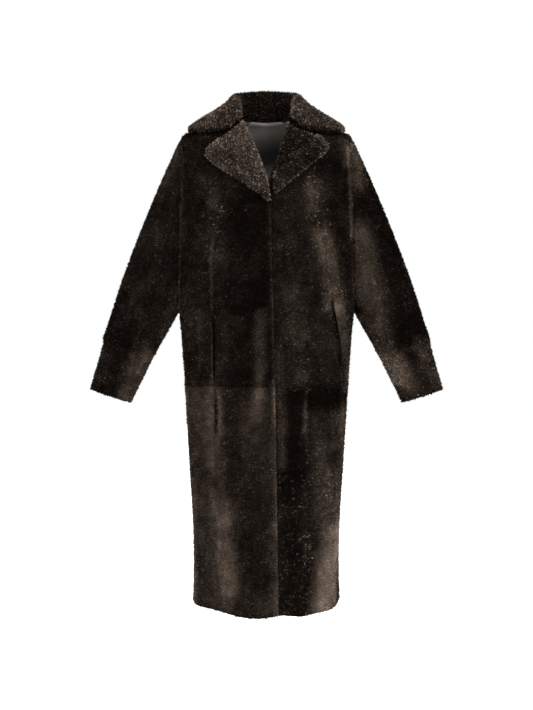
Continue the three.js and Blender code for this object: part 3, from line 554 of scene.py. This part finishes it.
# How pale and how speckled the pile is at each point, and how much shorter; places are the points
# that the strokes are measured from
def toneOf(points, places, up, node, base):
    tone = np.full(len(points), base)
    for size, amount, seed in pile["mottles"]:
        tone += amount * noiseAt(points, size, seed)
    speck = np.full(len(points), pile["speck"])
    short = np.zeros(len(points))
    for stroke in [stroke for start, rows in napLightAndShadeStrokes.items() if node.startswith(start) for stroke in rows]:
        away, _ = alongLine(places[:, [0, 2]], stroke["points"])
        onSide = np.clip(points[:, 1] * stroke.get("side", -1) / strokeEdge["side"] + 0.5, 0, 1)
        reach = np.exp(-(away / (stroke["width"] * mm)) ** strokeEdge["power"]) * onSide
        tone += stroke["tone"] * reach
        speck += stroke.get("speck", 0) * reach
        short += stroke.get("short", 0) * reach
    if node == "collar":
        turned = np.clip(standShadow["turn"] - up[:, 1] * standShadow["slope"], 0, 1)
        behind = np.clip((points[:, 1] - standShadow["from"]) / standShadow["over"], 0, 1)
        tone += standShadow["tone"] * turned * behind
    return tone, speck, short


# One lock is a three sided cone; a pile is thousands of them joined into one mesh
def lockShape():
    bm = bmesh.new()
    bmesh.ops.create_cone(bm, cap_ends=True, segments=3, radius1=1, radius2=0, depth=1)
    bmesh.ops.remove_doubles(bm, verts=bm.verts, dist=1e-5)
    bmesh.ops.triangulate(bm, faces=bm.faces)
    bmesh.ops.recalc_face_normals(bm, faces=bm.faces)
    bm.verts.ensure_lookup_table()
    corners = np.array([vert.co for vert in bm.verts]) + (0, 0, 0.5)  # its foot at zero
    faces = np.array([[vert.index for vert in face.verts] for face in bm.faces])
    bm.free()
    return corners, faces


lockCorners, lockFaces = lockShape()


evenSteps = (0.7548776662, 0.5698402910)  # steps that fill a square evenly


# Places spread evenly over the furred triangles, by area, with the surface's normals there
def spreadPlaces(mesh):
    points, corners, normals, areas = furredTriangles(mesh)
    share = np.cumsum(areas) / pile["spacing"] ** 2
    owner = np.searchsorted(share, np.arange(int(share[-1])) + 0.5)
    order = np.arange(len(owner))
    u, v = ((0.5 + order * step) % 1 for step in evenSteps)
    over = u + v > 1
    u[over], v[over] = 1 - u[over], 1 - v[over]
    weights = np.stack([1 - u - v, u, v], 1)[:, :, None]
    return (points[corners[owner]] * weights).sum(1), unit((normals[corners[owner]] * weights).sum(1))


def pileMesh(name, verts, faces, mapU, mapV):
    mesh = bpy.data.meshes.new(name)
    mesh.vertices.add(verts.size // 3)
    mesh.vertices.foreach_set("co", verts.ravel())
    mesh.loops.add(faces.size)
    mesh.loops.foreach_set("vertex_index", faces.ravel().astype(np.int32))
    mesh.polygons.add(faces.size // 3)
    mesh.polygons.foreach_set("loop_start", np.arange(0, faces.size, 3, dtype=np.int32))
    mesh.update(calc_edges=True)
    mesh.polygons.foreach_set("use_smooth", np.ones(faces.size // 3, bool))
    layer = mesh.uv_layers.new(name=pileMap)
    layer.uv.foreach_set("vector", np.stack([mapU, mapV], 1).ravel())
    mesh.materials.append(pileMaterial)
    return mesh


def makePile(node, skin, base, seed, brushing):
    rng = np.random.default_rng(seed)
    places, up = spreadPlaces(skin.data)
    count = len(places)

    # Neighbouring locks gather into tufts, each with its own turn, height and paleness
    heart = rng.choice(count, max(1, count // pile["perTuft"]), replace=False)
    hearts = places[heart]
    tuft = nearestIndex(hearts, places)
    scattered = hearts + rng.normal(0, pile["scatter"], hearts.shape)
    tone, speck, short = toneOf(hearts, scattered, up[heart], node, base)
    chance = rng.normal(0, 1, len(heart))
    brushed = np.clip((tone - pile["brushedFrom"]) * brushing, 0, pile["brushedMost"])
    speck *= 1 - brushed
    ruffled = (1 - brushed)[tuft][:, None]
    turn = rng.normal(0, pile["swirl"], (len(heart), 3))
    lean = (hearts[tuft] - places) * (pile["gather"] / pile["height"]) + turn[tuft]
    lean += rng.normal(0, pile["stray"], (count, 3))
    lean *= ruffled
    lean[:, 2] -= pile["comb"]
    lean -= (lean * up).sum(1)[:, None] * up
    direction = unit(up + lean)
    uneven = 1 + pile["uneven"] * np.clip(chance, -2, 2) * (1 - brushed)
    height = pile["height"] * (uneven * (1 - short))[tuft] * rng.uniform(*pile["heights"], count)
    radius = pile["radius"] * rng.uniform(*pile["radii"], count)
    grain = rng.normal(0, pile["grain"], count) * ruffled[:, 0]
    tone = np.clip((tone + speck * chance)[tuft] + grain, *pile["tones"])

    side = unit(np.cross(up, rng.normal(size=(count, 3))))
    other = np.cross(up, side)
    x, y, z = lockCorners.T
    foot = places - up * pile["sunk"]
    verts = (
        foot[:, None]
        + side[:, None] * (x[None, :, None] * radius[:, None, None])
        + other[:, None] * (y[None, :, None] * radius[:, None, None])
        + direction[:, None] * (z[None, :, None] * height[:, None, None])
    )
    faces = lockFaces[None] + (np.arange(count) * len(lockCorners))[:, None, None]
    mapU = np.repeat(tone, lockFaces.size) + np.tile(pile["corners"], count * len(lockFaces))
    mapV = np.tile(np.interp(z[lockFaces.ravel()], (0, 1), pile["ends"]), count)
    name = node + "_pile"
    return addObject(name, pileMesh(name, verts, faces, mapU, mapV))


# Each sewn piece: the size it was cut to in metres, its area, what it is sewn to and how pale it is
panels = {
    "front_right_centre_upper": {"cut": (0.19, 0.61), "area": 0.089, "on": ["collar"], "pale": 0.2},
    "front_right_side_upper": {"cut": (0.13, 0.59), "area": 0.059, "on": ["back_upper"], "pale": 0.23},
    "front_right_centre_skirt": {
        "cut": (0.155, 0.51), "area": 0.076, "on": ["front_right_centre_upper"], "pale": 0.35},
    "front_right_side_skirt": {
        "cut": (0.14, 0.5), "area": 0.065, "on": ["front_right_side_upper"], "pale": 0.4},
    "front_left_centre_upper": {"cut": (0.24, 0.61), "area": 0.098, "on": ["collar"], "pale": 0.29},
    "front_left_side_upper": {"cut": (0.15, 0.6), "area": 0.058, "on": ["back_upper"], "pale": 0.26},
    "front_left_centre_skirt": {
        "cut": (0.13, 0.194), "area": 0.025, "on": ["front_left_centre_upper"], "pale": 0.26},
    "front_left_side_skirt": {
        "cut": (0.18, 0.194), "area": 0.034, "on": ["front_left_side_upper"], "pale": 0.34},
    "front_left_hem": {
        "cut": (0.29, 0.315), "area": 0.089, "on": ["front_left_centre_skirt"], "pale": 0.38},
    "back_upper": {"cut": (0.56, 0.66), "area": 0.285, "on": ["collar"], "pale": 0.26},
    "back_skirt": {"cut": (0.52, 0.5), "area": 0.245, "on": ["back_upper"], "pale": 0.34},
}

sleeves = {
    "sleeve_right_upper": {"cut": (0.62, 0.51), "area": 0.139, "on": ["back_upper"], "pale": 0.24},
    "sleeve_left_upper": {"cut": (0.62, 0.51), "area": 0.139, "on": ["back_upper"], "pale": 0.15},
    "sleeve_right_cuff": {"cut": (0.36, 0.13), "area": 0.041, "on": ["sleeve_right_upper"], "pale": 0.27},
    "sleeve_left_cuff": {"cut": (0.36, 0.13), "area": 0.041, "on": ["sleeve_left_upper"], "pale": 0.24},
}

# Curlier than the rest, with the skin between the curls painted darker still, as shade, by the amount given
# for each
collars = {
    "collar": {
        "cut": (0.62, 0.17), "area": 0.085, "on": ["back_upper"],
        "pale": 0.56, "holeShade": 0.2, "brushed": 0.5, "inset": 3.0 * mm},
    "lapel_right": {
        "cut": (0.16, 0.21), "area": 0.0155, "on": ["front_right_centre_upper"],
        "pale": 0.645, "holeShade": 0.2, "brushed": 0.4, "inset": 2.6 * mm},
    "lapel_left": {
        "cut": (0.15, 0.19), "area": 0.0135, "on": ["front_left_centre_upper"],
        "pale": 0.46, "holeShade": 0.2, "brushed": 0.4, "inset": 2.6 * mm},
}

firstSeeds = {"body": 11, "sleeve": 31, "collar": 51}
dressed = {}


# The skin and the pile of each piece, with a seed of its own
def dressPieces(pieces, kind):
    for seed, (node, piece) in enumerate(pieces.items(), firstSeeds[kind]):
        # The skin is painted darker than its locks, as shade between the curls
        skinBase = piece["pale"] - piece.get("holeShade", 0)
        skin = makeSkin(node, kind, piece.get("inset", shell["pileDepth"]), skinBase)
        fur = makePile(node, skin, piece["pale"], seed, piece.get("brushed", pile["brushed"]))
        dressed[node] = (skin, fur)
        print(kind, node, len(fur.data.polygons))


dressPieces(panels, "body")
dressPieces(sleeves, "sleeve")
dressPieces(collars, "collar")


# Lining and pocket facings: their solids smoothed, with the same creases as the skins over them
def makeFacing(node, material):
    name = node + "_cloth"
    mesh = smoothed(name, mergedCopy(node))
    points = coordinatesOf(mesh)
    movePoints(mesh, points - outwardOf(points, "body") * creaseDepth(points)[:, None])
    for polygon in mesh.polygons:
        polygon.use_smooth = True
    mesh.materials.append(material)
    return addObject(name, mesh)


facings = {
    "lining_back": {
        "cut": (0.25, 0.3), "area": 0.057, "on": ["back_upper"],
        "material": liningMaterial, "slot": "lining"},
    "pocket_right": {
        "cut": (0.027, 0.19), "area": 0.005, "on": ["front_right_side_upper"],
        "material": skinMaterial, "slot": "shearling"},
    "pocket_left": {
        "cut": (0.034, 0.18), "area": 0.0059, "on": ["front_left_side_upper"],
        "material": skinMaterial, "slot": "shearling"},
}
for node, facing in facings.items():
    piece = makeFacing(node, facing["material"])
    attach(piece, "root")
    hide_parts(node)
print("lining and pocket facings made")

for node, settings in {**panels, **sleeves, **collars}.items():
    skin, fur = dressed[node]
    for piece in (skin, fur):
        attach(piece, "root")
    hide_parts(node)
    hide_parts(node)
print("pieces placed on the frame")

# Studio: a white floor under where the wearer would stand, soft light and a level camera
studio = {
    "floor": -1.465, "size": 14, "floorShade": 0.9, "floorGlow": 0.75, "world": 1.0,
    "distance": 3.0, "height": -0.5406, "lens": 65.6, "sensor": 36,
}


def makeFloor():
    bm = bmesh.new()
    bmesh.ops.create_grid(bm, x_segments=2, y_segments=2, size=studio["size"])
    bmesh.ops.translate(bm, verts=bm.verts, vec=(0, 0, studio["floor"]))
    mesh = bpy.data.meshes.new("floor")
    bm.to_mesh(mesh)
    bm.free()
    m = Material("whiteFloor")
    mesh.materials.append(m.finish(**{
        "Base Color": (*[studio["floorShade"]] * 3, 1), "Roughness": 0.9,
        "Emission Color": (1, 1, 1, 1), "Emission Strength": studio["floorGlow"],
    }))
    addObject("floor", mesh)


def makeLight(name, place, aim, size, power):
    data = bpy.data.lights.new(name, "AREA")
    data.size = size
    data.energy = power
    lamp = addObject(name, data)
    lamp.location = place
    lamp.rotation_euler = (Vector(aim) - Vector(place)).to_track_quat("-Z", "Y").to_euler()


makeFloor()
lamps = {
    "key": {"place": (1.8, -2.6, 1.4), "aim": (0, 0, -0.5), "size": 1.6, "power": 60},
    "fill": {"place": (-2.4, -2.4, 0.4), "aim": (0, 0, -0.6), "size": 2.0, "power": 30},
    "top": {"place": (0, 0.4, 2.2), "aim": (0, 0, -0.3), "size": 1.6, "power": 40},
}
for name, lamp in lamps.items():
    makeLight(name, **lamp)

world = bpy.data.worlds.new("studio")
world.use_nodes = True
background = world.node_tree.nodes["Background"].inputs
background["Color"].default_value = (1, 1, 1, 1)
background["Strength"].default_value = studio["world"]
bpy.context.scene.world = world
bpy.context.scene.view_settings.view_transform = "Standard"

cameraData = bpy.data.cameras.new("camera")
cameraData.lens = studio["lens"]
cameraData.sensor_width = studio["sensor"]
camera = addObject("camera", cameraData)
camera.location = (0, -studio["distance"], studio["height"])
camera.rotation_euler = (math.radians(90), 0, 0)
bpy.context.scene.camera = camera
print("studio made")
